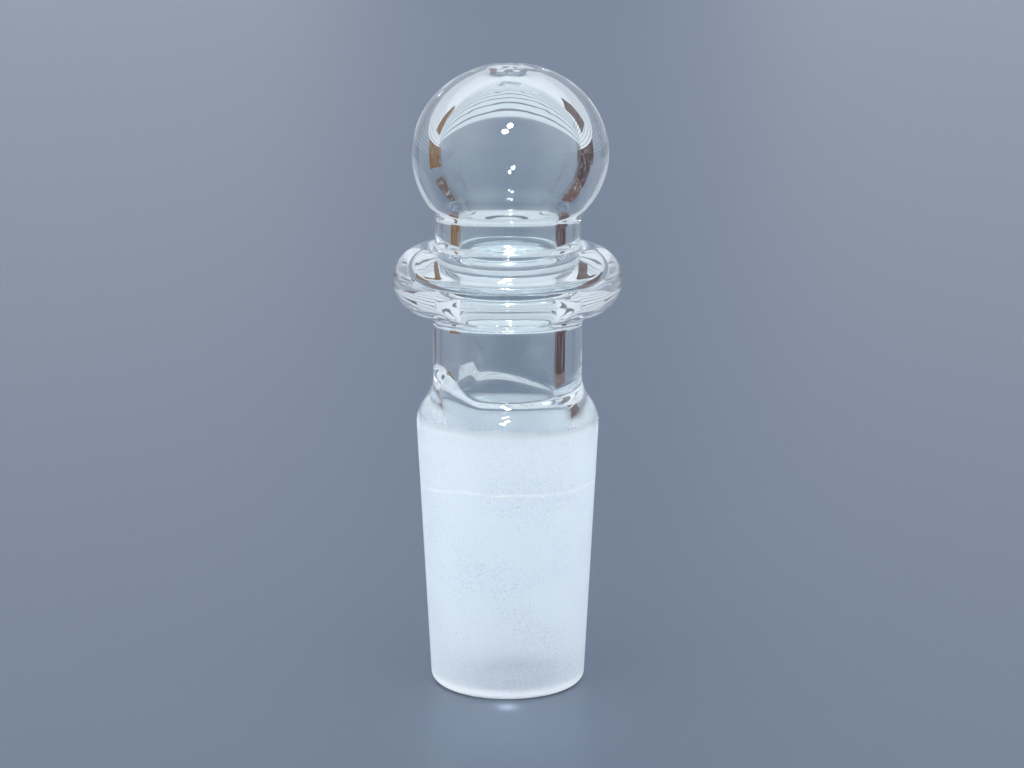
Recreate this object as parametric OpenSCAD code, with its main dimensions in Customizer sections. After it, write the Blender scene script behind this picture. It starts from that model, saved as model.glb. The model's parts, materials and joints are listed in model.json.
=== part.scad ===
// Hollow blown glass stopper: a ground cone, a collar and a ball grip, all one piece of glass
// with one sealed hollow inside. It stands on the small end of its cone, centred on Z.

/* [Ground cone] */
// Diameter of the cone where its sides would meet the base
cone_small_d = 12.2; // [11:0.1:16]
// Length of cone in which its diameter grows by 1
cone_taper = 10; // [8:0.5:14]
// Height up to which the cone is ground
ground_h = 21.3; // [14:0.1:32]
// Rounding of the edge of the base
base_edge_r = 0.68; // [0.2:0.02:1.4]

/* [Shoulder and lower neck] */
// Radius of the shoulder that rounds in above the cone
shoulder_r = 3.2; // [2:0.1:4]
// How far above the shoulder's centre the cone's grinding stops
shoulder_lead = 0.4; // [0:0.1:1]
// Hollow radius between the shoulder and the lower neck
shoulder_fillet_r = 3; // [1:0.1:4]
// Diameter of the neck below the collar
lower_neck_d = 11.66; // [10:0.02:12.6]
// Straight length of the neck below the collar
lower_neck_h = 3.95; // [1:0.05:12]

/* [Collar] */
// Diameter of the collar
collar_d = 17.86; // [15.4:0.02:24]
// Thickness of the collar, which is also twice the radius of its rim
collar_h = 5.34; // [4:0.02:7]
// Hollow radius under the collar
collar_fillet_r = 1; // [0.4:0.1:1.6]
// Radius at which the top of the collar rolls in towards the upper neck
collar_lip_r = 0.85; // [0.4:0.05:1.1]
// Depth of the crease between the collar and the upper neck
crease_h = 0.7; // [0.3:0.05:0.9]
// Radius at the bottom of that crease
crease_r = 0.1; // [0.06:0.02:0.3]

/* [Upper neck and ball] */
// Diameter of the neck above the collar
upper_neck_d = 11.26; // [10:0.02:12.4]
// Straight length of the neck, from the top of the collar
upper_neck_h = 1.78; // [0.5:0.02:8]
// Hollow radius between the neck and the ball
ball_fillet_r = 1.5; // [0.5:0.1:3]
// Diameter of the ball
ball_d = 15.2; // [14:0.1:19]
// Height that the whole ball would have
ball_h = 13.9; // [12:0.1:18]

/* [Hollow] */
// Wall of the ground cone
cone_wall = 2; // [1.2:0.05:2.4]
// Thickness of the base
base_wall = 2; // [1:0.05:4]
// Rounding inside, round the base
floor_r = 1.6; // [0.5:0.1:2.5]
// Radius of the hollow's shoulder
bore_shoulder_r = 2.4; // [1.4:0.1:2.8]
// How far the hollow's shoulder lies above the shoulder outside
bore_shoulder_lift = 0.3; // [0:0.1:0.8]
// Rounding of the ridge where the hollow opens out below the lower neck
ridge_r = 0.5; // [0.3:0.1:1]
// Bore of the lower neck
lower_bore_d = 7.6; // [6.4:0.1:8.2]
// Bore of the upper neck
upper_bore_d = 7.6; // [6.4:0.1:8.2]
// Diameter of the hollow in the ball
bulb_d = 11; // [10.2:0.1:11.8]
// Height that the whole hollow in the ball would have
bulb_h = 10.4; // [9.6:0.1:10.8]
// Thickness of glass over the hollow, at the top of the ball
crown_wall = 1.7; // [1.3:0.1:2.4]
// Radius with which the hollow opens out from the bore into the ball
bulb_fillet_r = 2.5; // [1.5:0.1:4]

/* [Groove inside the collar] */
// Diameter at the bottom of the groove
groove_d = 12.4; // [10.4:0.1:13.4]
// Radius of the bottom of the groove
groove_r = 0.3; // [0.2:0.05:0.6]
// How far the groove lies above the middle of the collar
groove_lift = 0; // [-0.6:0.1:0.8]
// Rounding of the sharp lower edge of the groove
groove_sill_r = 0.5; // [0.3:0.1:0.8]
// Angle between the groove's long upper slope and the axis
groove_slope = 50; // [45:5:75]
// Radius with which that slope runs into the upper bore
groove_fillet_r = 1; // [0.4:0.1:1.4]

/* [Seal] */
// Width of the spot on top of the ball where the glass was closed
seal_d = 3.6; // [2:0.1:5]
// Depth of its dimple outside
seal_dip = 0.12; // [0:0.02:0.3]
// Height of the drop of glass that hangs inside under it
seal_drop = 0.6; // [0:0.05:1.2]

/* [Hidden] */

turn_faces = 120;   // faces round the axis
arc_step = 6;       // degrees between the points of an arc

// Each outline below is half a section through the axis: x is the radius and y the height.

// The cone's side: its slope, its angle from the axis and its radius at height z
cone_slope = 1 / (2 * cone_taper);
cone_angle = atan(cone_slope);
function cone_r(z) = cone_small_d / 2 + cone_slope * z;

lower_neck_r = lower_neck_d / 2;
upper_neck_r = upper_neck_d / 2;
lower_bore_r = lower_bore_d / 2;
upper_bore_r = upper_bore_d / 2;

// Points along an arc about c from angle a to angle b
function arc(c, r, a, b) =
    let (n = ceil(abs(b - a) / arc_step))
    [for (i = [0:n]) let (t = a + (b - a) * i / n) c + r * [cos(t), sin(t)]];

// Points along an upright oval about c, with half its width and half its height
function oval(c, w, h, a, b) =
    let (n = ceil(2 * abs(b - a) / arc_step))
    [for (i = [0:n]) let (t = a + (b - a) * i / n) c + [w * cos(t), h * sin(t)]];

// Outward normal of such an oval at t
function oval_normal(w, h, t) = [h * cos(t), w * sin(t)] / norm([h * cos(t), w * sin(t)]);

// Centre of a fillet of radius f that touches the oval at t
function roll_centre(w, h, f, t) = [w * cos(t), h * sin(t)] + f * oval_normal(w, h, t);

// The t below the oval's middle at which such a fillet also touches an upright wall at radius x
function roll_angle(w, h, f, x, low = -90, high = 0, tries = 40) =
    let (mid = (low + high) / 2)
    tries == 0 ? mid
    : roll_centre(w, h, f, mid).x > x + f ? roll_angle(w, h, f, x, low, mid, tries - 1)
    : roll_angle(w, h, f, x, mid, high, tries - 1);

// An upright wall at radius x that a fillet f carries up into an oval about c, and the oval to its top
function wall_to_oval(x, f, c, w, h) =
    let (t = roll_angle(w, h, f, x), n = oval_normal(w, h, t))
    concat(
        arc(c + roll_centre(w, h, f, t), f, 180, atan2(-n.y, -n.x)),
        oval(c, w, h, t, 90)
    );

// How far below the oval's middle the wall ends and that fillet starts
function roll_drop(x, f, w, h) = -roll_centre(w, h, f, roll_angle(w, h, f, x)).y;

// The same points with a round dip of depth d and width w pressed into them at the axis
function dipped(points, d, w) =
    [for (p = points) p - [0, p.x < w / 2 ? d * (1 + cos(360 * p.x / w)) / 2 : 0]];

// Base edge: centre of the arc that touches the base and the cone
base_edge_c = [cone_r(base_edge_r) - base_edge_r / cos(cone_angle), base_edge_r];

// Shoulder, and the fillet that carries it up into the lower neck
shoulder_c = [cone_r(ground_h) - sqrt(pow(shoulder_r, 2) - pow(shoulder_lead, 2)), ground_h - shoulder_lead];
shoulder_fillet_c = [
    lower_neck_r + shoulder_fillet_r,
    shoulder_c.y + sqrt(pow(shoulder_r + shoulder_fillet_r, 2)
        - pow(lower_neck_r + shoulder_fillet_r - shoulder_c.x, 2))
];
shoulder_end = atan2(shoulder_fillet_c.y - shoulder_c.y, shoulder_fillet_c.x - shoulder_c.x);

// Collar: a rim of radius rim_r, a fillet under it, a lip on top and the crease beside the upper neck
rim_r = collar_h / 2;
rim_x = collar_d / 2 - rim_r;
under_c = [lower_neck_r + collar_fillet_r, shoulder_fillet_c.y + lower_neck_h];
under_run = max(under_c.x - rim_x, 0);
rim_c = [rim_x, under_c.y + sqrt(pow(rim_r + collar_fillet_r, 2) - pow(under_run, 2))];
under_end = atan2(rim_c.y - under_c.y, -under_run);

lip_r = min(collar_lip_r, (collar_d / 2 - upper_neck_r) / 2 - crease_r);
crease_drop = min(crease_h, lip_r + crease_r);
lip_x = upper_neck_r + crease_r + sqrt(crease_drop * (2 * (lip_r + crease_r) - crease_drop));
lip_run = max(lip_x - rim_x, 0);
lip_c = [lip_x, rim_c.y + sqrt(max(pow(rim_r - lip_r, 2) - pow(lip_run, 2), 0))];
lip_start = atan2(lip_c.y - rim_c.y, lip_run);
crease_c = [upper_neck_r + crease_r, lip_c.y + lip_r + crease_r - crease_drop];
lip_end = atan2(crease_c.y - lip_c.y, crease_c.x - lip_c.x);

// Ball, and the hollow inside it
ball_w = ball_d / 2;
ball_half_h = ball_h / 2;
ball_c = [0, rim_c.y + rim_r + upper_neck_h + roll_drop(upper_neck_r, ball_fillet_r, ball_w, ball_half_h)];
bulb_c = [0, ball_c.y + ball_half_h - crown_wall - bulb_h / 2];

// Hollow of the cone: its side, its shoulder and the ridge below the lower bore
function bore_cone_r(z) = cone_r(z) - cone_wall / cos(cone_angle);
floor_y = base_wall + floor_r;
floor_c = [bore_cone_r(floor_y) - floor_r / cos(cone_angle), floor_y];
bore_shoulder_y = shoulder_c.y + bore_shoulder_lift;
bore_shoulder_c = [bore_cone_r(bore_shoulder_y) - bore_shoulder_r / cos(cone_angle), bore_shoulder_y];
ridge_c = [
    lower_bore_r + ridge_r,
    bore_shoulder_c.y + sqrt(pow(bore_shoulder_r + ridge_r, 2)
        - pow(lower_bore_r + ridge_r - bore_shoulder_c.x, 2))
];
ridge_end = atan2(ridge_c.y - bore_shoulder_c.y, ridge_c.x - bore_shoulder_c.x);

// Groove inside the collar, where the glass was squeezed out: its sharp sill, its bottom and its slope
groove_c = [groove_d / 2 - groove_r, rim_c.y + groove_lift];
sill_c = [lower_bore_r + groove_sill_r, groove_c.y - groove_r - groove_sill_r];
slope_x = upper_bore_r + groove_fillet_r;
slope_c = [
    slope_x,
    groove_c.y + (groove_r + groove_fillet_r - (slope_x - groove_c.x) * cos(groove_slope)) / sin(groove_slope)
];

module outside() {
    polygon(concat(
        [[0, 0]],
        arc(base_edge_c, base_edge_r, -90, -cone_angle),
        arc(shoulder_c, shoulder_r, asin(shoulder_lead / shoulder_r), shoulder_end),
        arc(shoulder_fillet_c, shoulder_fillet_r, 180 + shoulder_end, 180),
        arc(under_c, collar_fillet_r, 180, under_end),
        arc(rim_c, rim_r, under_end - 180, lip_start),
        arc(lip_c, lip_r, lip_start, lip_end),
        arc(crease_c, crease_r, lip_end + 180, 180),
        dipped(wall_to_oval(upper_neck_r, ball_fillet_r, ball_c, ball_w, ball_half_h), seal_dip, seal_d)
    ));
}

module hollow() {
    polygon(concat(
        [[0, base_wall]],
        arc(floor_c, floor_r, -90, -cone_angle),
        arc(bore_shoulder_c, bore_shoulder_r, -cone_angle, ridge_end),
        arc(ridge_c, ridge_r, 180 + ridge_end, 180),
        arc(sill_c, groove_sill_r, 180, 90),
        arc(groove_c, groove_r, -90, groove_slope),
        arc(slope_c, groove_fillet_r, 180 + groove_slope, 180),
        dipped(wall_to_oval(upper_bore_r, bulb_fillet_r, bulb_c, bulb_d / 2, bulb_h / 2), seal_drop, seal_d)
    ));
}

module stopper() {
    color("lightcyan")
    difference() {
        rotate_extrude($fn = turn_faces) outside();
        rotate_extrude($fn = turn_faces) hollow();
    }
}

stopper();
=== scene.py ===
import json
import math

import bmesh
import bpy
import numpy as np
from bpy.props import FloatProperty, FloatVectorProperty, IntProperty, PointerProperty
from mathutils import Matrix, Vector

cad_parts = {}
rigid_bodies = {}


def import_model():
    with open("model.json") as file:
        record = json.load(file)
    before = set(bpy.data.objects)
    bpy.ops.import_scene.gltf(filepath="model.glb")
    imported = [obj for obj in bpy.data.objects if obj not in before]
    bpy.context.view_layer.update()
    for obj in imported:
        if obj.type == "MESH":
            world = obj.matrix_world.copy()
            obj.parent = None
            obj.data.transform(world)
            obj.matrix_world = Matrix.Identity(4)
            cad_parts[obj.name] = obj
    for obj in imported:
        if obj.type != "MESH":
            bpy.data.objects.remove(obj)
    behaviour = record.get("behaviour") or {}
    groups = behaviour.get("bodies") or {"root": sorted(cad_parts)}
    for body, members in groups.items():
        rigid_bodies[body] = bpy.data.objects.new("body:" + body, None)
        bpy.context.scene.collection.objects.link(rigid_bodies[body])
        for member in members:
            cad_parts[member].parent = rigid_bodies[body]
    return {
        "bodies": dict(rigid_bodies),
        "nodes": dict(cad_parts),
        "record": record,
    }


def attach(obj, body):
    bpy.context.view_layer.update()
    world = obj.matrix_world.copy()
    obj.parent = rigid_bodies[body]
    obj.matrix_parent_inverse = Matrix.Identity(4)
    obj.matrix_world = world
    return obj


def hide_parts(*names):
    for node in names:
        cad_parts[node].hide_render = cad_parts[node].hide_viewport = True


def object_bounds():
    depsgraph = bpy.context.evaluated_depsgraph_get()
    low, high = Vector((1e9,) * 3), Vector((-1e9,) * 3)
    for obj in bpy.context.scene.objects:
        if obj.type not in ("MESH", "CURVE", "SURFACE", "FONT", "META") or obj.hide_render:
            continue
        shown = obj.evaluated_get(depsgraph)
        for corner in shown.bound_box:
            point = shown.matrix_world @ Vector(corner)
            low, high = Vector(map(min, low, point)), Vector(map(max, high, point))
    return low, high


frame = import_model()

bl_info = {
    "name": "Glass stopper",
    "version": (1, 0, 0),
    "blender": (4, 5, 0),
    "location": "View3D > Sidebar > Stopper",
    "description": "A hollow blown glass stopper with a ground cone, on a plain studio floor",
    "category": "Object",
}

MM = 0.001
GLASS_IOR = 1.474  # borosilicate
FACES_ROUND = 144

# a new file's own cube, lamp and camera aren't part of the scene
for start_object in [o for o in bpy.data.objects if o.name in ("Cube", "Light", "Camera")]:
    bpy.data.objects.remove(start_object)

CAD_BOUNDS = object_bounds()
NODE = "stopper"
PIECE = "stopper_glass"
BODY = next(iter(frame["bodies"]))
HEIGHT = CAD_BOUNDS[1].z
# the height of the frost line, where the ground cone ends
GROUND_TOP = next(m["pos_m"][2] for m in frame["record"]["mounts"] if m["name"] == "ground_cone")


def linear(hex_colour):
    """An sRGB hex colour as the linear values that shaders and lamps take."""
    parts = [int(hex_colour[i : i + 2], 16) / 255 for i in (1, 3, 5)]
    return [p / 12.92 if p <= 0.04045 else ((p + 0.055) / 1.055) ** 2.4 for p in parts]


def add(tree, kind, inputs=None, **settings):
    """Adds one node with its settings, values and links, and returns it."""
    made = tree.nodes.new(kind)
    for name, value in settings.items():
        setattr(made, name, value)
    for key, value in (inputs or {}).items():
        if isinstance(value, bpy.types.NodeSocket):
            tree.links.new(value, made.inputs[key])
        else:
            made.inputs[key].default_value = value
    return made


def new_material(name):
    """An empty node material, and its tree."""
    material = bpy.data.materials.new(name)
    material.use_nodes = True
    material.node_tree.nodes.clear()
    return material, material.node_tree


# ------------------------------------------------------------------- what a user would change


def swatch(name, description, hex_colour):
    """A colour that a user may change, given in sRGB hex."""
    return FloatVectorProperty(
        name=name, description=description, default=linear(hex_colour), subtype="COLOR", size=3, min=0, max=1
    )


class GlassSettings(bpy.types.PropertyGroup):
    """Sizes and colours of the stopper"""

    faces_round: IntProperty(
        name="Faces round", description="Faces round the axis", default=FACES_ROUND, min=48, max=180
    )
    lean: FloatProperty(
        name="Lean of the ball",
        description="How far the ball stands to one side of the cone",
        default=0.22 * MM,
        unit="LENGTH",
        subtype="DISTANCE",
    )
    ridge_rise: FloatProperty(
        name="Rise of the ridge",
        description="How much higher the mouth of the lower bore is where the glass was pulled up most",
        default=2.6 * MM,
        unit="LENGTH",
        subtype="DISTANCE",
    )
    streak_depth: FloatProperty(
        name="Depth of streaks",
        description="Depth of the upright streaks that drawing and turning leave inside",
        default=0.006 * MM,
        unit="LENGTH",
        subtype="DISTANCE",
    )
    ripple_depth: FloatProperty(
        name="Depth of ripples",
        description="Depth of the rings that turning in the flame leaves under the crown",
        default=0.002 * MM,
        unit="LENGTH",
        subtype="DISTANCE",
    )
    wrinkle_depth: FloatProperty(
        name="Depth of the seal's wrinkles",
        description="How uneven the closed spot on top of the ball is",
        default=0.035 * MM,
        unit="LENGTH",
        subtype="DISTANCE",
    )
    clear_colour: swatch("Clear glass", "Colour of the fire-polished glass", "#F8FCFC")
    ground_colour: swatch("Ground glass", "Colour of the ground skin", "#E8F0F6")
    grit: FloatProperty(
        name="Grit",
        description="Size of the pits that the grinding leaves, as drawn",
        default=0.1 * MM,
        unit="LENGTH",
        subtype="DISTANCE",
    )


class StudioSettings(bpy.types.PropertyGroup):
    """Colours, lamps and camera of the studio"""

    floor_colour: swatch("Floor", "Colour of the floor", "#636E7E")
    wall_colour: swatch("Walls and ceiling", "Colour of the soft light all round", "#EAF3FF")
    left_card_colour: swatch("Left card", "Colour of the card that edges the glass on the left", "#A87434")
    right_card_colour: swatch("Right card", "Colour of the card that edges the glass on the right", "#68463C")
    top_colour: swatch("Top of the right card", "Colour of the upper piece of the right card", "#86685A")
    foot_colour: swatch("Foot of the left card", "Colour of the sheet on the floor before it", "#6A5249")
    back_card_colour: swatch("Back card", "Colour of the card far behind", "#D2D8E0")
    key_power: FloatProperty(
        name="Key lamp", description="Power of the brighter small lamp in front", default=5.0, unit="POWER"
    )
    fill_power: FloatProperty(
        name="Fill lamps",
        description="Power of the soft lamp on the left, which those on the right and in front follow",
        default=2.7,
        unit="POWER",
    )
    back_power: FloatProperty(
        name="Back lamp", description="Power of the soft lamp far behind", default=30, unit="POWER"
    )
    camera_distance: FloatProperty(
        name="Camera distance",
        description="From the camera to the middle of the stopper",
        default=170 * MM,
        unit="LENGTH",
        subtype="DISTANCE",
    )
    camera_pitch: FloatProperty(
        name="Camera pitch",
        description="How far the camera looks down",
        default=math.radians(11.5),
        unit="ROTATION",
        subtype="ANGLE",
    )


# ------------------------------------------------------------------- section of the solid


def half_sections(name):
    """The outlines of a turned solid in the half plane Y = 0, X >= 0, each as points (radius, height) from
    the axis below to the axis above: the outer one first, then the hollow."""
    solid = bmesh.new()
    solid.from_mesh(frame["nodes"][name].data)
    # its triangles are loose, so they are sewn together before they are cut
    bmesh.ops.remove_doubles(solid, verts=solid.verts, dist=0.003 * MM)
    for normal in ((1, 0, 0), (0, 1, 0)):
        everything = solid.verts[:] + solid.edges[:] + solid.faces[:]
        cut = bmesh.ops.bisect_plane(solid, geom=everything, plane_no=normal, dist=0.0001 * MM)["geom_cut"]
    # the edges of the section on one side of the axis, and which corners they join
    half = [
        e for e in cut
        if isinstance(e, bmesh.types.BMEdge) and min(v.co.x for v in e.verts) > -0.001 * MM
    ]
    near = {}
    for edge in half:
        a, b = edge.verts
        near.setdefault(a, []).append(b)
        near.setdefault(b, []).append(a)
    # each outline is followed from its end on the axis below to its end on the axis above
    ends = sorted((v for v in near if len(near[v]) == 1), key=lambda v: v.co.z)
    chains = []
    while ends:
        chain = [ends.pop(0)]
        while True:
            onward = [v for v in near[chain[-1]] if v not in chain[-2:]]
            if not onward:
                break
            chain.append(onward[0])
        ends.remove(chain[-1])
        chains.append(np.array([(max(v.co.x, 0), v.co.z) for v in chain]))
    solid.free()
    return sorted(chains, key=lambda c: c[0, 1])


def evenly_cut(points, step):
    """The same line with its long straights cut into pieces no longer than step."""
    out = [points[0]]
    for a, b in zip(points, points[1:]):
        n = max(1, math.ceil(np.linalg.norm(b - a) / step))
        out += [a + (b - a) * i / n for i in range(1, n + 1)]
    return np.array(out)


def eased(points, passes):
    """Rounds the corners between the flats of an outline, which crosses the axis square at both ends."""
    mirror = np.array([-1, 1])
    for _ in range(passes):
        p = np.vstack([points[1] * mirror, points, points[-2] * mirror])
        points = (p[:-2] + 2 * p[1:-1] + p[2:]) / 4
    return points


def thinned(points, turn):
    """The points that an outline turns at, and enough between them that no stretch is long. The wrinkled
    seal, on top near the axis, has the shortest."""
    out, heading = [points[0]], points[1] - points[0]
    for a, b in zip(points[1:], points[2:]):
        on_seal = b[1] > 0.85 * HEIGHT and b[0] < 2.6 * MM
        longest = 0.12 * MM if on_seal else 0.5 * MM
        onward = b - a
        cross = heading[0] * onward[1] - heading[1] * onward[0]
        if abs(math.atan2(cross, heading @ onward)) > turn or np.linalg.norm(b - out[-1]) > longest:
            out.append(a)
            heading = onward
    return np.array(out + [points[-1]])


# ------------------------------------------------------------------- turning


def turning_tree():
    """Geometry nodes that turn an outline about Z: a grid with a column for each face round the axis and a
    row for each point of the outline, moved onto the turned surface and sewn shut."""
    tree = bpy.data.node_groups.new("Turned glass", "GeometryNodeTree")
    sockets = tree.interface
    sockets.new_socket("Geometry", in_out="INPUT", socket_type="NodeSocketGeometry")
    count = sockets.new_socket("Faces round", in_out="INPUT", socket_type="NodeSocketInt")
    count.default_value, count.min_value = FACES_ROUND, 12
    sockets.new_socket("Glass", in_out="INPUT", socket_type="NodeSocketMaterial")
    sockets.new_socket("Geometry", in_out="OUTPUT", socket_type="NodeSocketGeometry")
    given = add(tree, "NodeGroupInput")
    outline, round_count, glass = given.outputs[:3]

    rows = add(tree, "GeometryNodeAttributeDomainSize", {"Geometry": outline}, component="CURVE")
    rows = rows.outputs["Point Count"]
    columns = add(tree, "ShaderNodeMath", {0: round_count, 1: 1.0}, operation="ADD").outputs[0]
    grid = add(tree, "GeometryNodeMeshGrid", {"Vertices X": columns, "Vertices Y": rows})
    index = add(tree, "GeometryNodeInputIndex").outputs[0]
    ratio = add(tree, "ShaderNodeMath", {0: index, 1: rows}, operation="DIVIDE").outputs[0]
    column = add(tree, "ShaderNodeMath", {0: ratio}, operation="FLOOR").outputs[0]
    row = add(tree, "ShaderNodeMath", {0: index, 1: rows}, operation="MODULO").outputs[0]
    place = add(tree, "GeometryNodeInputPosition").outputs[0]
    point = add(
        tree,
        "GeometryNodeSampleIndex",
        {"Geometry": outline, "Value": place, "Index": row},
        data_type="FLOAT_VECTOR",
        domain="POINT",
    )
    share = add(tree, "ShaderNodeMath", {0: column, 1: round_count}, operation="DIVIDE").outputs[0]
    angle = add(tree, "ShaderNodeMath", {0: share, 1: math.tau}, operation="MULTIPLY").outputs[0]
    turned = add(
        tree,
        "ShaderNodeVectorRotate",
        {"Vector": point.outputs["Value"], "Angle": angle},
        rotation_type="Z_AXIS",
    )
    moved = add(
        tree,
        "GeometryNodeSetPosition",
        {"Geometry": grid.outputs["Mesh"], "Position": turned.outputs[0]},
    )
    sewn = add(tree, "GeometryNodeMergeByDistance", {"Geometry": moved.outputs[0], "Distance": 0.002 * MM})
    smooth = add(tree, "GeometryNodeSetShadeSmooth", {"Geometry": sewn.outputs[0]})
    real = add(tree, "GeometryNodeRealizeInstances", {"Geometry": smooth.outputs[0]})
    finished = add(tree, "GeometryNodeSetMaterial", {"Geometry": real.outputs[0], "Material": glass})
    add(tree, "NodeGroupOutput", {"Geometry": finished.outputs[0]})
    return tree


def turned_shell(name, outline, tree, faces_round, glass):
    """A mesh object that the tree turns from one outline."""
    line = bpy.data.curves.new(name, "CURVE")
    line.dimensions = "3D"
    spline = line.splines.new("POLY")
    spline.points.add(len(outline) - 1)
    for point, (r, z) in zip(spline.points, outline):
        point.co = (r, 0, z, 1)
    source = bpy.data.objects.new(name + "_outline", line)
    bpy.context.scene.collection.objects.link(source)
    modifier = source.modifiers.new("Turn", "NODES")
    modifier.node_group = tree
    inputs = {s.name: s.identifier for s in tree.interface.items_tree if s.in_out == "INPUT"}
    modifier[inputs["Faces round"]] = faces_round
    modifier[inputs["Glass"]] = glass
    depsgraph = bpy.context.evaluated_depsgraph_get()
    mesh = bpy.data.meshes.new_from_object(source.evaluated_get(depsgraph), depsgraph=depsgraph)
    bpy.data.objects.remove(source)
    mesh.materials.pop(index=0)  # the outline's own empty slot
    shell = bpy.data.objects.new(name, mesh)
    bpy.context.scene.collection.objects.link(shell)
    return shell


# ------------------------------------------------------------------- hand work in the flame


def eased_step(x, start, end):
    """0 before start and 1 after end, with no corner."""
    t = np.clip((x - start) / (end - start), 0, 1)
    return t * t * (3 - 2 * t)


def hump(x, width):
    """1 at x = 0, falling away on both sides."""
    return np.exp(-((x / width) ** 2))


def waves(coordinate, count, lowest, highest, seed):
    """A seeded sum of sine waves along a coordinate, about 1 high: count of them, each with a whole number
    of waves in a turn, from lowest to one less than highest."""
    random = np.random.default_rng(seed)
    numbers = random.integers(lowest, highest, count)
    phases = random.uniform(0, math.tau, count)
    return sum(np.sin(n * coordinate + p) for n, p in zip(numbers, phases)) / math.sqrt(count)


def worked_by_hand(shell, settings, landmarks, inside):
    """Takes a turned shell out of true as the flame and the hand do. The ball leans and its seal is wrinkled,
    inside and out. Inside, the wall wanders, the mouth of the lower bore is pulled up on one side with a curl
    of glass beside it, and drawing and turning leave streaks and rings."""
    mesh = shell.data
    points = np.empty(len(mesh.vertices) * 3)
    mesh.vertices.foreach_get("co", points)
    points = points.reshape(-1, 3)
    x, y, z = points.T.copy()
    radius = np.hypot(x, y)
    angle = np.arctan2(y, x)
    outward = np.stack([np.cos(angle), np.sin(angle), np.zeros_like(z)])
    above_ball, above_ridge = z - landmarks["ball"], z - landmarks["ridge"]
    moved = np.zeros((3, len(z)))

    # the lean starts above the collar and is full in the ball
    moved[0] += settings.lean * eased_step(z - landmarks["collar"], 2.5 * MM, 9.5 * MM)
    # the seal: folds that run out from the axis, with rings and waves across them, half as deep outside
    crown = hump(radius, 1.5 * MM) * eased_step(above_ball, 0, 3 * MM)
    wrinkles = waves(angle, 5, 3, 9, 3) * eased_step(radius, 0.1 * MM, 1 * MM)
    wrinkles += waves(radius / (0.3 * MM), 3, 1, 3, 4) + waves(x / (0.4 * MM), 3, 1, 3, 5)
    moved[2] += settings.wrinkle_depth * crown * wrinkles * (1.0 if inside else 0.5)
    if inside:
        # the drop of glass under the seal hangs less far down than in the solid
        moved[2] += 0.3 * MM * hump(radius, 1 * MM) * (above_ball > 0)

        # the wall wanders by less than a tenth of a millimetre
        up = z / HEIGHT
        wander = 0.04 * MM * eased_step(up, 0.1, 0.3)
        moved[0] += wander * np.sin(11 * up + 0.6)
        moved[1] += wander * np.sin(9 * up + 2.0)

        # the mouth of the lower bore rises round the back, steps up at the curl and falls to the front, as
        # shares of the ridge's rise against the turn in degrees from the right
        turn = np.degrees(angle) % 360
        rear = 0.55 * hump((turn + 60) % 360 - 185, 75)
        front = 0.93 - 0.93 * eased_step(turn, 180, 245)
        lobe = settings.ridge_rise * (rear + (front - rear) * eased_step(turn, 128, 144)) - 0.25 * MM
        near_ridge = eased_step(above_ridge, -3 * MM, 0.5 * MM)
        near_ridge *= 1 - eased_step(above_ridge, 1.2 * MM, 5.8 * MM)
        moved[2] += lobe * near_ridge
        curl = np.array([-2.6, 2.6, 25.0]) * MM
        moved -= outward * 0.35 * MM * hump(np.linalg.norm(points - curl, axis=1), 0.6 * MM)

        # upright streaks in the lower half of the ball and in the lower neck, but none in front, where the
        # lamps are mirrored
        streaks = waves(angle, 9, 5, 24, 11) + 0.6 * waves(angle + 12 * up, 5, 9, 30, 12)
        drawn = hump(above_ball + 2.2 * MM, 1.2 * MM) + 0.5 * hump(above_ridge - 4 * MM, 3 * MM)
        drawn *= np.clip(radius / (3 * MM), 0, 1) * (1 - hump(x, 2 * MM))
        moved += outward * settings.streak_depth * streaks * drawn

        # three fine lines drawn down the lower half of the ball
        lines = sum(hump((turn - line + 180) % 360 - 180, 1.8) for line in (230, 300, 304))
        low = eased_step(above_ball, -4.5 * MM, -3 * MM) * (1 - eased_step(above_ball, -1 * MM, 1 * MM))
        moved -= outward * 0.02 * MM * lines * low

        # rings that turning in the flame leaves round the crown, a little uneven, 4.6 degrees apart and
        # strongest 42 degrees up the ball
        latitude = np.degrees(np.arctan2(above_ball, radius))
        uneven = 0.8 * waves(angle, 3, 1, 4, 13) + 2 * waves(latitude / 20, 2, 1, 3, 14)
        turning = np.sin(math.tau * latitude / 4.6 + uneven)
        from_ball = np.stack([x, y, above_ball])
        from_ball /= np.linalg.norm(from_ball, axis=0)
        moved += from_ball * settings.ripple_depth * turning * hump(latitude - 42, 16)
    points += moved.T
    points[:, 2] = np.minimum(points[:, 2], HEIGHT)
    mesh.vertices.foreach_set("co", points.ravel())
    mesh.update()


# ------------------------------------------------------------------- glass


def fire_polished(settings):
    """Borosilicate glass, blown and fire polished: quite clear, with a smooth skin that the flame left very
    slightly wavy, so that what shows through it swims a little."""
    material, tree = new_material("fire_polished_borosilicate")
    place = add(tree, "ShaderNodeTexCoord").outputs["Object"]
    swell_width, swell_depth = 1.6 * MM, 0.002 * MM
    swell = add(tree, "ShaderNodeTexNoise", {"Vector": place, "Scale": 1 / swell_width, "Detail": 1.0})
    skin = add(tree, "ShaderNodeBump", {"Height": swell.outputs[0], "Distance": swell_depth})
    shader = add(
        tree,
        "ShaderNodeBsdfPrincipled",
        {
            "Base Color": (*settings.clear_colour, 1),
            "Roughness": 0.0,
            "IOR": GLASS_IOR,
            "Transmission Weight": 1.0,
            "Normal": skin.outputs[0],
        },
    )
    add(tree, "ShaderNodeOutputMaterial", {"Surface": shader.outputs[0]})
    return material


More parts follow.
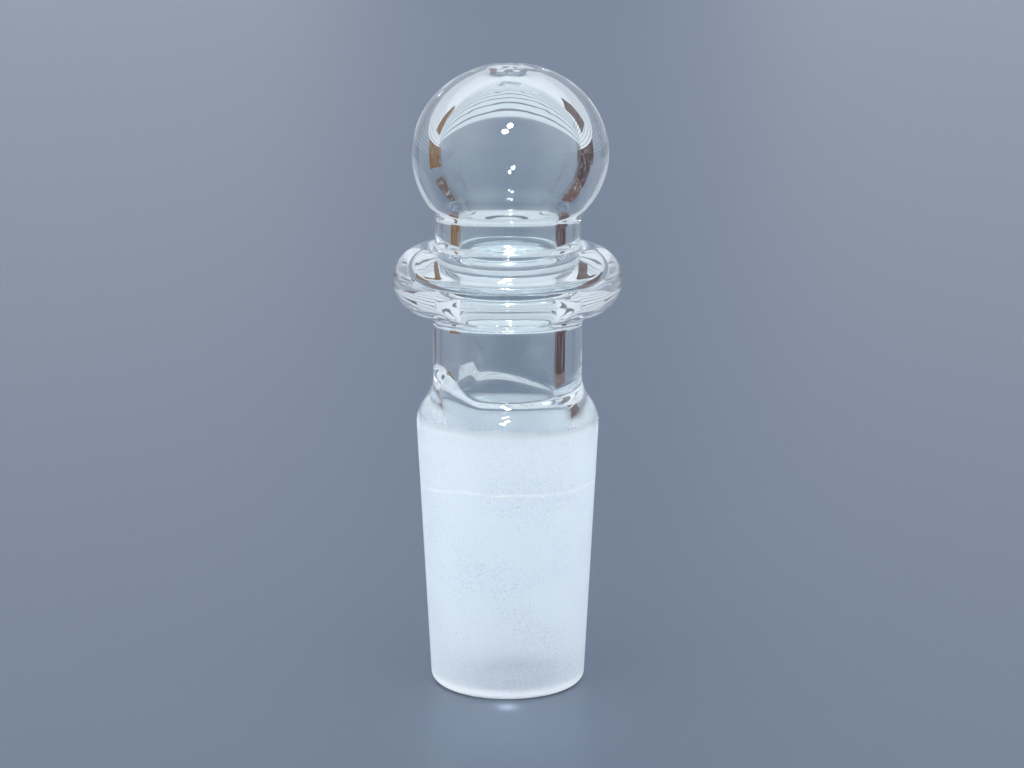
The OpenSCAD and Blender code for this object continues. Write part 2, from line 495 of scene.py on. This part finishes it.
def ground(settings):
    """Borosilicate glass ground with fine grit in a cone: white and matt, with close pits, a rubbed ring
    where it sits in its socket, a patch of painted shade near its foot and a rim painted whiter as painted
    light at the foot. Its top edge fades into the clear glass."""
    material, tree = new_material("ground_borosilicate")
    place = add(tree, "ShaderNodeTexCoord").outputs["Object"]
    axes = add(tree, "ShaderNodeSeparateXYZ", {0: place}).outputs

    # Uneven patterns by the width of their spots. Real grit leaves pits a few hundredths of a millimetre
    # wide, too fine to show, so pits and speckles are drawn several times as coarse.
    uneven = {}
    for name, width, detail in (
        ("edge", 1.5 * MM, 2.0),
        ("speckle", 0.15 * MM, 2.0),
        ("ring", 6 * MM, 1.0),
        ("ring_gaps", 0.8 * MM, 3.0),
        ("patch_specks", 0.16 * MM, 3.0),
        ("crowding", 5 * MM, 1.0),
        ("pits", settings.grit, 2.0),
    ):
        pattern = add(tree, "ShaderNodeTexNoise", {"Vector": place, "Scale": 1 / width, "Detail": detail})
        uneven[name] = pattern.outputs[0]

    # the edge of the grinding wanders by a few tenths of a millimetre, is higher on one side and breaks up
    # into speckles
    height = axes["Z"]
    for wandering, depth, offset in (
        (uneven["edge"], 0.4 * MM, -0.25 * MM),
        (axes["X"], 0.03, 0.0),
        (uneven["speckle"], 0.5 * MM, 0.0),
    ):
        shift = add(tree, "ShaderNodeMath", {0: wandering, 1: depth, 2: offset}, operation="MULTIPLY_ADD")
        height = add(tree, "ShaderNodeMath", {0: height, 1: shift.outputs[0]}, operation="ADD").outputs[0]
    # from above, the skin first grows rough and then white
    frost = add(
        tree,
        "ShaderNodeMapRange",
        {"Value": height, "From Min": GROUND_TOP + 0.7 * MM, "From Max": GROUND_TOP - 0.6 * MM},
        interpolation_type="SMOOTHERSTEP",
    ).outputs[0]
    hazy = add(
        tree,
        "ShaderNodeMapRange",
        {"Value": height, "From Min": GROUND_TOP + 1.0 * MM, "From Max": GROUND_TOP + 0.2 * MM},
        interpolation_type="SMOOTHSTEP",
    ).outputs[0]

    # the ring: a narrow, broken line that the socket's mouth rubbed smoother
    wavy = add(
        tree, "ShaderNodeMath", {0: uneven["ring"], 1: 1.6 * MM, 2: axes["Z"]}, operation="MULTIPLY_ADD"
    ).outputs[0]
    wavy = add(
        tree, "ShaderNodeMath", {0: uneven["speckle"], 1: 0.35 * MM, 2: wavy}, operation="MULTIPLY_ADD"
    ).outputs[0]
    ring_height = GROUND_TOP - 3.7 * MM
    from_ring = add(tree, "ShaderNodeMath", {0: wavy, 1: ring_height}, operation="SUBTRACT").outputs[0]
    from_ring = add(tree, "ShaderNodeMath", {0: from_ring}, operation="ABSOLUTE").outputs[0]
    rubbed = add(
        tree, "ShaderNodeMapRange", {"Value": from_ring, "From Max": 0.15 * MM, "To Min": 0.8, "To Max": 0.0}
    ).outputs[0]
    unbroken = add(
        tree, "ShaderNodeMapRange", {"Value": uneven["ring_gaps"], "From Min": 0.3, "From Max": 0.6}
    ).outputs[0]
    ring = add(tree, "ShaderNodeMath", {0: rubbed, 1: unbroken}, operation="MULTIPLY").outputs[0]

    # the rim at the foot, where the grinding turns onto the base: painted light, whiter and less clear,
    # standing in for the glow that light through the base gives it
    foot = add(
        tree, "ShaderNodeMapRange", {"Value": axes["Z"], "From Min": 1.1 * MM, "From Max": 0.35 * MM}
    ).outputs[0]

    # the patch of painted shade: broken, bluer speckles in an oval, low on the front, where the darker inside
    # shows through the wall
    squares = []
    for axis, middle, half_width in (("X", 0.4 * MM, 4.2 * MM), ("Z", 2.2 * MM, 1.7 * MM)):
        away = add(tree, "ShaderNodeMath", {0: axes[axis], 1: middle}, operation="SUBTRACT").outputs[0]
        away = add(tree, "ShaderNodeMath", {0: away, 1: half_width}, operation="DIVIDE").outputs[0]
        squares.append(add(tree, "ShaderNodeMath", {0: away, 1: 2.0}, operation="POWER").outputs[0])
    oval = add(tree, "ShaderNodeMath", dict(enumerate(squares)), operation="ADD").outputs[0]
    patch = add(
        tree,
        "ShaderNodeMapRange",
        {"Value": oval, "From Min": 0.3, "From Max": 1.2, "To Min": 1.0, "To Max": 0.0},
    ).outputs[0]
    front = add(
        tree, "ShaderNodeMapRange", {"Value": axes["Y"], "From Min": 0.0, "From Max": -3 * MM}
    ).outputs[0]
    speckled = add(
        tree, "ShaderNodeMapRange", {"Value": uneven["patch_specks"], "From Min": 0.42, "From Max": 0.58}
    ).outputs[0]
    for share in (front, speckled):
        patch = add(tree, "ShaderNodeMath", {0: patch, 1: share}, operation="MULTIPLY").outputs[0]

    # how much smoother and clearer the ring and the patch are: the ring rubbed by the socket, the patch with
    # its painted shade
    rubbed_and_shaded = add(tree, "ShaderNodeMath", {0: patch, 1: 0.4}, operation="MULTIPLY").outputs[0]
    rubbed_and_shaded = add(tree, "ShaderNodeMath", {0: ring, 1: 0.35, 2: rubbed_and_shaded}, operation="MULTIPLY_ADD").outputs[0]

    # specks where the grit bit deeper, thicker in some places than in others
    crowded = add(
        tree,
        "ShaderNodeMapRange",
        {"Value": uneven["crowding"], "From Min": 0.35, "From Max": 0.65, "To Min": -0.06, "To Max": 0.04},
    ).outputs[0]
    grain = add(tree, "ShaderNodeMath", {0: uneven["pits"], 1: crowded}, operation="ADD").outputs[0]
    grain = add(tree, "ShaderNodeMapRange", {"Value": grain, "From Min": 0.55, "From Max": 0.7}).outputs[0]
    grain = add(tree, "ShaderNodeMath", {0: frost, 1: grain}, operation="MULTIPLY").outputs[0]

    # in the rubbed ring and in the patch of painted shade it is smoother and clearer
    rough = add(tree, "ShaderNodeMath", {0: rubbed_and_shaded, 1: -0.3, 2: 0.68}, operation="MULTIPLY_ADD").outputs[0]
    rough = add(tree, "ShaderNodeMath", {0: hazy, 1: rough}, operation="MULTIPLY").outputs[0]
    cloud = add(tree, "ShaderNodeMath", {0: rubbed_and_shaded, 1: -0.5, 2: 0.65}, operation="MULTIPLY_ADD").outputs[0]
    cloud = add(tree, "ShaderNodeMath", {0: frost, 1: cloud}, operation="MULTIPLY").outputs[0]
    clear = add(tree, "ShaderNodeMath", {0: 1.0, 1: cloud}, operation="SUBTRACT").outputs[0]
    clear = add(tree, "ShaderNodeMath", {0: foot, 1: -0.3, 2: clear}, operation="MULTIPLY_ADD").outputs[0]

    # white by its frost, greyer in the specks, bluer in the patch as painted shade, whitest in the ring, and
    # whitest at the foot as painted light
    whitest = add(tree, "ShaderNodeMath", {0: foot, 1: 0.8}, operation="MULTIPLY").outputs[0]
    whitest = add(tree, "ShaderNodeMath", {0: ring, 1: whitest}, operation="MAXIMUM").outputs[0]
    white = (*settings.clear_colour, 1)
    for share, shade, blend in (
        (frost, settings.ground_colour, "MIX"),
        (grain, linear("#E5E8ED"), "MULTIPLY"),
        (patch, linear("#F3F8FD"), "MULTIPLY"),
        (whitest, linear("#FFFFFF"), "MIX"),
    ):
        inputs = {0: share, 6: white, 7: (*shade, 1)}
        white = add(tree, "ShaderNodeMix", inputs, data_type="RGBA", blend_type=blend).outputs[2]

    deep = add(tree, "ShaderNodeMath", {0: frost, 1: 0.5}, operation="MULTIPLY").outputs[0]
    pits = add(
        tree, "ShaderNodeBump", {"Height": uneven["pits"], "Strength": deep, "Distance": 0.02 * MM}
    ).outputs[0]
    shader = add(
        tree,
        "ShaderNodeBsdfPrincipled",
        {
            "Base Color": white,
            "Roughness": rough,
            "IOR": GLASS_IOR,
            "Transmission Weight": clear,
            "Normal": pits,
        },
    )
    # light that soaks through the wall from behind
    glow = add(tree, "ShaderNodeBsdfTranslucent", {"Color": white, "Normal": pits})
    through = add(tree, "ShaderNodeMath", {0: foot, 1: -0.1, 2: 0.4}, operation="MULTIPLY_ADD").outputs[0]
    through = add(tree, "ShaderNodeMath", {0: rubbed_and_shaded, 1: -0.3, 2: through}, operation="MULTIPLY_ADD").outputs[0]
    through = add(tree, "ShaderNodeMath", {0: frost, 1: through}, operation="MULTIPLY").outputs[0]
    skin = add(tree, "ShaderNodeMixShader", {0: through, 1: shader.outputs[0], 2: glow.outputs[0]})
    add(tree, "ShaderNodeOutputMaterial", {"Surface": skin.outputs[0]})
    return material


# ------------------------------------------------------------------- operators


def landmarks_of(outer, hollow):
    """Heights of the collar's middle, of the ball's widest place and of the ridge where the bore starts."""
    collar = outer[np.argmax(outer[:, 0]), 1]
    bore = hollow[(hollow[:, 1] > GROUND_TOP) & (hollow[:, 1] < collar)]
    at_full_depth = bore[:, 0] < bore[:, 0].min() + 0.03 * MM
    above_collar = outer[outer[:, 1] > collar + 5 * MM]
    return {
        "collar": collar,
        "ridge": bore[np.argmax(at_full_depth), 1],
        "ball": above_collar[np.argmax(above_collar[:, 0]), 1],
    }


class STOPPER_OT_glass(bpy.types.Operator):
    """Turn the stopper's outer skin and its hollow from the section of the solid, as one piece of glass"""

    bl_idname = "stopper.glass"
    bl_label = "Glass stopper"

    def execute(self, context):
        settings = context.scene.stopper_glass
        tree = turning_tree()
        outer, hollow = (
            thinned(eased(evenly_cut(line, step=0.1 * MM), passes=4), turn=math.radians(2.5))
            for line in half_sections(NODE)
        )
        landmarks = landmarks_of(outer, hollow)
        clear, frosted = fire_polished(settings), ground(settings)
        skin = turned_shell(PIECE, outer, tree, settings.faces_round, clear)
        inside = turned_shell("hollow", hollow[::-1], tree, settings.faces_round, clear)
        worked_by_hand(skin, settings, landmarks, inside=False)
        worked_by_hand(inside, settings, landmarks, inside=True)

        # the ground finish covers the cone and the little above the frost line where it fades out
        top_of_fade = GROUND_TOP + 1.1 * MM
        skin.data.materials.append(frosted)
        for face in skin.data.polygons:
            if face.center.z < top_of_fade:
                face.material_index = 1
        with context.temp_override(active_object=skin, selected_editable_objects=[skin, inside]):
            bpy.ops.object.join()
        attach(skin, BODY)
        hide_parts(NODE)
        return {"FINISHED"}


def area_lamp(name, place, target, size, power, shape="RECTANGLE"):
    """A lamp that shines from place towards target."""
    data = bpy.data.lights.new(name, "AREA")
    data.shape = shape
    data.size = data.size_y = size
    data.energy = power
    lamp = bpy.data.objects.new(name, data)
    lamp.location = place
    lamp.rotation_euler = (Vector(target) - Vector(place)).to_track_quat("-Z", "Y").to_euler()
    bpy.context.scene.collection.objects.link(lamp)
    return lamp


def flat_sheet(name, corners, material):
    """A sheet of the stage, which isn't part of the object, through its corners in pairs along two edges."""
    mesh = bpy.data.meshes.new(name)
    mesh.from_pydata(corners, [], [(i, i + 1, i + 3, i + 2) for i in range(0, len(corners) - 2, 2)])
    mesh.materials.append(material)
    sheet = bpy.data.objects.new(name, mesh)
    bpy.context.scene.collection.objects.link(sheet)
    return sheet


def satin_paint(colour):
    """Board with satin paint, for the floor: even and nearly matt, with a blurred shine at a low angle."""
    material, tree = new_material("satin_painted_board")
    shader = add(
        tree,
        "ShaderNodeBsdfPrincipled",
        {"Base Color": (*colour, 1), "Roughness": 0.35, "Specular IOR Level": 0.5},
    )
    add(tree, "ShaderNodeOutputMaterial", {"Surface": shader.outputs[0]})
    return material


def speckled_card(name, colour):
    """Matt card with pale specks 7 mm wide, so that the glass draws its bands unevenly."""
    material, tree = new_material(name)
    place = add(tree, "ShaderNodeTexCoord").outputs["Object"]
    speck_width = 7 * MM
    specks = add(tree, "ShaderNodeTexNoise", {"Vector": place, "Scale": 1 / speck_width, "Detail": 1.0})
    share = add(
        tree,
        "ShaderNodeMapRange",
        {"Value": specks.outputs[0], "From Min": 0.55, "From Max": 0.68, "To Max": 0.6},
    )
    shade = add(
        tree,
        "ShaderNodeMix",
        {0: share.outputs[0], 6: (*colour, 1), 7: (*linear("#CBCBCE"), 1)},
        data_type="RGBA",
    )
    shader = add(tree, "ShaderNodeBsdfPrincipled", {"Base Color": shade.outputs[2], "Roughness": 0.9})
    add(tree, "ShaderNodeOutputMaterial", {"Surface": shader.outputs[0]})
    return material


def soft_edged_card(colour, half_width):
    """Matt card that fades out from its middle to its upright edges, so that no edge shows in the floor."""
    material, tree = new_material("grey_card")
    place = add(tree, "ShaderNodeTexCoord").outputs["Object"]
    across = add(tree, "ShaderNodeSeparateXYZ", {0: place}).outputs["X"]
    across = add(tree, "ShaderNodeMath", {0: across}, operation="ABSOLUTE").outputs[0]
    fade = add(
        tree,
        "ShaderNodeMapRange",
        {"Value": across, "From Min": half_width, "From Max": 0.2 * half_width},
        interpolation_type="SMOOTHSTEP",
    )
    shader = add(
        tree,
        "ShaderNodeBsdfPrincipled",
        {"Base Color": (*colour, 1), "Roughness": 0.9, "Alpha": fade.outputs[0]},
    )
    add(tree, "ShaderNodeOutputMaterial", {"Surface": shader.outputs[0]})
    return material


def soft_walls(settings):
    """The light all round: pale walls from the horizon up, a little brighter behind the camera, and a
    brighter ceiling."""
    world = bpy.data.worlds.new("studio")
    world.use_nodes = True
    tree = world.node_tree
    tree.nodes.clear()
    direction = add(tree, "ShaderNodeTexCoord").outputs["Generated"]
    axes = add(tree, "ShaderNodeSeparateXYZ", {0: direction}).outputs

    # what changes with a direction's depth (Y, 1 straight behind the glass) or rise (Z, 1 straight up)
    by_direction = {}
    for name, axis, start, end, low, high in (
        ("wall", "Y", 1.0, -1.0, 0.88, 1.3),
        ("in_front", "Y", -0.2, -0.6, 0.0, 1.0),
        ("near_floor", "Z", 0.35, 0.0, 0.0, 0.6),
        ("behind", "Y", 0.2, 0.35, 0.0, 1.0),
        ("under_slats_end", "Z", 0.34, 0.32, 0.0, 1.0),
        ("above_horizon", "Z", -0.02, 0.0, 0.0, 1.0),
        ("ceiling", "Z", 0.8, 0.84, 0.0, 1.0),
    ):
        inputs = {"Value": axes[axis], "From Min": start, "From Max": end, "To Min": low, "To Max": high}
        by_direction[name] = add(tree, "ShaderNodeMapRange", inputs).outputs[0]

    # in front it grows darker towards the floor, so that the glass shows no hard horizon there
    shaded = add(
        tree,
        "ShaderNodeMath",
        {0: by_direction["in_front"], 1: by_direction["near_floor"]},
        operation="MULTIPLY",
    ).outputs[0]
    # dark slats across the wall behind, 2.6 degrees apart near the floor, which the glass draws as fine lines
    slats_to_zenith = 22.0
    slat = add(tree, "ShaderNodeMath", {0: axes["Z"], 1: slats_to_zenith}, operation="MULTIPLY").outputs[0]
    slat = add(tree, "ShaderNodeMath", {0: slat, 1: 0.5}, operation="PINGPONG").outputs[0]
    slat = add(
        tree, "ShaderNodeMapRange", {"Value": slat, "From Min": 0.38, "From Max": 0.43, "To Max": 0.75}
    ).outputs[0]
    for name in ("behind", "under_slats_end"):
        slat = add(tree, "ShaderNodeMath", {0: slat, 1: by_direction[name]}, operation="MULTIPLY").outputs[0]
    wall = by_direction["wall"]
    for darker in (shaded, slat):
        remaining = add(tree, "ShaderNodeMath", {0: 1.0, 1: darker}, operation="SUBTRACT").outputs[0]
        wall = add(tree, "ShaderNodeMath", {0: wall, 1: remaining}, operation="MULTIPLY").outputs[0]

    below_horizon, ceiling = 0.32, 1.3
    level = add(
        tree,
        "ShaderNodeMix",
        {0: by_direction["above_horizon"], 2: below_horizon, 3: wall},
        data_type="FLOAT",
    ).outputs[0]
    level = add(
        tree, "ShaderNodeMix", {0: by_direction["ceiling"], 2: level, 3: ceiling}, data_type="FLOAT"
    ).outputs[0]
    light = add(tree, "ShaderNodeBackground", {"Color": (*settings.wall_colour, 1), "Strength": level})
    add(tree, "ShaderNodeOutputWorld", {"Surface": light.outputs[0]})
    return world


class STOPPER_OT_stage(bpy.types.Operator):
    """Lay the floor and set the walls' light, the dark cards, the lamps and the camera"""

    bl_idname = "stopper.stage"
    bl_label = "Studio"

    def execute(self, context):
        scene = context.scene
        settings = scene.stopper_studio
        scene.world = soft_walls(settings)

        # the floor reaches 6 m each way, past what any view shows
        reach = 6.0
        corners = [(-reach, -reach, 0), (reach, -reach, 0), (-reach, reach, 0), (reach, reach, 0)]
        floor = flat_sheet("floor", corners, satin_paint(settings.floor_colour))

        # Dark cards behind the glass on both sides, 120 mm from the axis, and two sheets on the floor that
        # reach from near the glass to their feet. Only light that comes through the glass meets them. Each
        # has its two edges in degrees from straight behind, and its near distance and two heights in mm.
        card_distance, on_floor = 120, 0.5
        for name, colour, first, last, near, low, high in (
            ("card_left", settings.left_card_colour, -70, -41, card_distance, 14, 43),
            ("card_left_top", settings.left_card_colour, -61, -50, card_distance, 59, 110),
            ("card_right", settings.right_card_colour, 40, 74, card_distance, on_floor, 24),
            ("card_right_middle", settings.right_card_colour, 35, 74, card_distance, 24, 42),
            ("card_right_top", settings.top_colour, 40, 56, card_distance, 60, 110),
            ("foot_left", settings.foot_colour, -80, -46, 45, on_floor, on_floor),
            ("foot_right", settings.right_card_colour, 40, 74, 50, on_floor, on_floor),
        ):
            corners = []
            for away, rise in ((near, low), (card_distance, high)):
                for turn in map(math.radians, (first, last)):
                    corners.append(Vector((away * math.sin(turn), away * math.cos(turn), rise)) * MM)
            card = flat_sheet(name, corners, speckled_card(name, colour))
            card.visible_camera = card.visible_diffuse = card.visible_shadow = card.visible_glossy = False

        # A grey card 3 m behind, which only reflections meet, so that the floor shines less in the middle. It
        # is built round its own middle, where its finish is strongest, and stands a little to the right.
        half_width, away, height, to_right = 0.45, 3.0, 1.4, 0.05
        corners = [(x, away, z) for z in (0, height) for x in (-half_width, half_width)]
        back = flat_sheet("card_back", corners, soft_edged_card(settings.back_card_colour, half_width))
        back.location.x = to_right
        back.visible_camera = back.visible_diffuse = back.visible_shadow = back.visible_transmission = False

        # light crosses the walls of the glass many times before it leaves it, and a low clamp on bounced
        # light would put out the sparks in them
        scene.cycles.max_bounces = scene.cycles.transmission_bounces = 32
        scene.cycles.glossy_bounces = 24
        scene.cycles.sample_clamp_indirect = 100

        # these lamps light the glass only, so that none makes a pool of light or an edge on the floor
        glass_only = bpy.data.collections.new("lit_by_lamps")
        glass_only.objects.link(bpy.data.objects[PIECE])

        # Two small round lamps half a metre in front for the sparks in the glass, which matt surfaces don't
        # see. Each has its turn to the right and its rise in degrees, and its share of the power.
        distance, size = 0.5, 50 * MM
        for name, turn, rise, share in (("key", 0, 45, 1.0), ("second_key", -7, 37, 0.7)):
            turn, rise = math.radians(turn), math.radians(rise)
            out = math.cos(rise)
            toward = Vector((math.sin(turn) * out, -math.cos(turn) * out, math.sin(rise)))
            place = distance * toward + Vector((0, 0, 40 * MM))
            key = area_lamp(name, place, (0, 0, 30 * MM), size, settings.key_power * share, "DISK")
            key.visible_diffuse = False
            key.light_linking.receiver_collection = glass_only
        # soft lamps at the sides, low in front and far behind, which light matt surfaces and don't show in
        # clear ones
        for name, place, size, power in (
            ("fill_left", (-0.45, -0.15, 0.07), 0.3, settings.fill_power),
            ("fill_right", (0.45, -0.15, 0.07), 0.3, 0.85 * settings.fill_power),
            ("fill_front", (0, -0.06, 0.004), 0.03, 0.0065 * settings.fill_power),
            ("fill_back", (0, 3.0, 1.3), 1.2, settings.back_power),
        ):
            fill = area_lamp(name, place, (0, 0, 20 * MM), size, power)
            fill.visible_camera = fill.visible_glossy = fill.visible_transmission = False
            fill.light_linking.receiver_collection = glass_only

        # The light that the glass gathers on the floor before its foot: a soft glow and a small bright spot.
        # Each has its distance in front, its height and its size in mm, and its power.
        floor_only = bpy.data.collections.new("lit_by_glow")
        floor_only.objects.link(floor)
        for name, away, rise, size, power in (
            ("glow", 11, 8, 6, 2.4e-4),
            ("glint", 7.3, 0.7, 0.8, 1.5e-5),
        ):
            place = Vector((0, -away, rise)) * MM
            glow = area_lamp(name, place, (0, -away * MM, 0), size * MM, power, "DISK")
            glow.visible_camera = glow.visible_glossy = glow.visible_transmission = False
            glow.light_linking.receiver_collection = floor_only

        data = bpy.data.cameras.new("camera")
        data.lens, data.sensor_width = 76.2, 36
        data.clip_start, data.clip_end = 0.01, 20
        camera = bpy.data.objects.new("camera", data)
        # it looks at a point just right of the axis, about half way up
        pitch, middle = settings.camera_pitch, Vector((0.345 * MM, 0, 0.491 * HEIGHT))
        camera.location = middle + settings.camera_distance * Vector((0, -math.cos(pitch), math.sin(pitch)))
        camera.rotation_euler = (math.pi / 2 - pitch, 0, 0)
        scene.collection.objects.link(camera)
        scene.camera = camera
        scene.view_settings.view_transform = "Standard"
        return {"FINISHED"}


class STOPPER_PT_sidebar(bpy.types.Panel):
    """The stopper's pieces, stage and settings"""

    bl_idname = "STOPPER_PT_sidebar"
    bl_label = "Glass stopper"
    bl_space_type = "VIEW_3D"
    bl_region_type = "UI"
    bl_category = "Stopper"

    def draw(self, context):
        for operator, settings in (
            (STOPPER_OT_glass, context.scene.stopper_glass),
            (STOPPER_OT_stage, context.scene.stopper_studio),
        ):
            box = self.layout.box()
            box.operator(operator.bl_idname)
            for name in settings.__annotations__:
                box.prop(settings, name)


CLASSES = (GlassSettings, StudioSettings, STOPPER_OT_glass, STOPPER_OT_stage, STOPPER_PT_sidebar)


def register():
    """Adds the classes and their settings to Blender."""
    for made in CLASSES:
        bpy.utils.register_class(made)
    bpy.types.Scene.stopper_glass = PointerProperty(type=GlassSettings)
    bpy.types.Scene.stopper_studio = PointerProperty(type=StudioSettings)


def unregister():
    """Takes them away again."""
    del bpy.types.Scene.stopper_studio
    del bpy.types.Scene.stopper_glass
    for made in reversed(CLASSES):
        bpy.utils.unregister_class(made)


def main():
    """Makes the glass and its stage."""
    register()
    bpy.ops.stopper.glass()
    bpy.ops.stopper.stage()


if __name__ == "__main__":
    main()
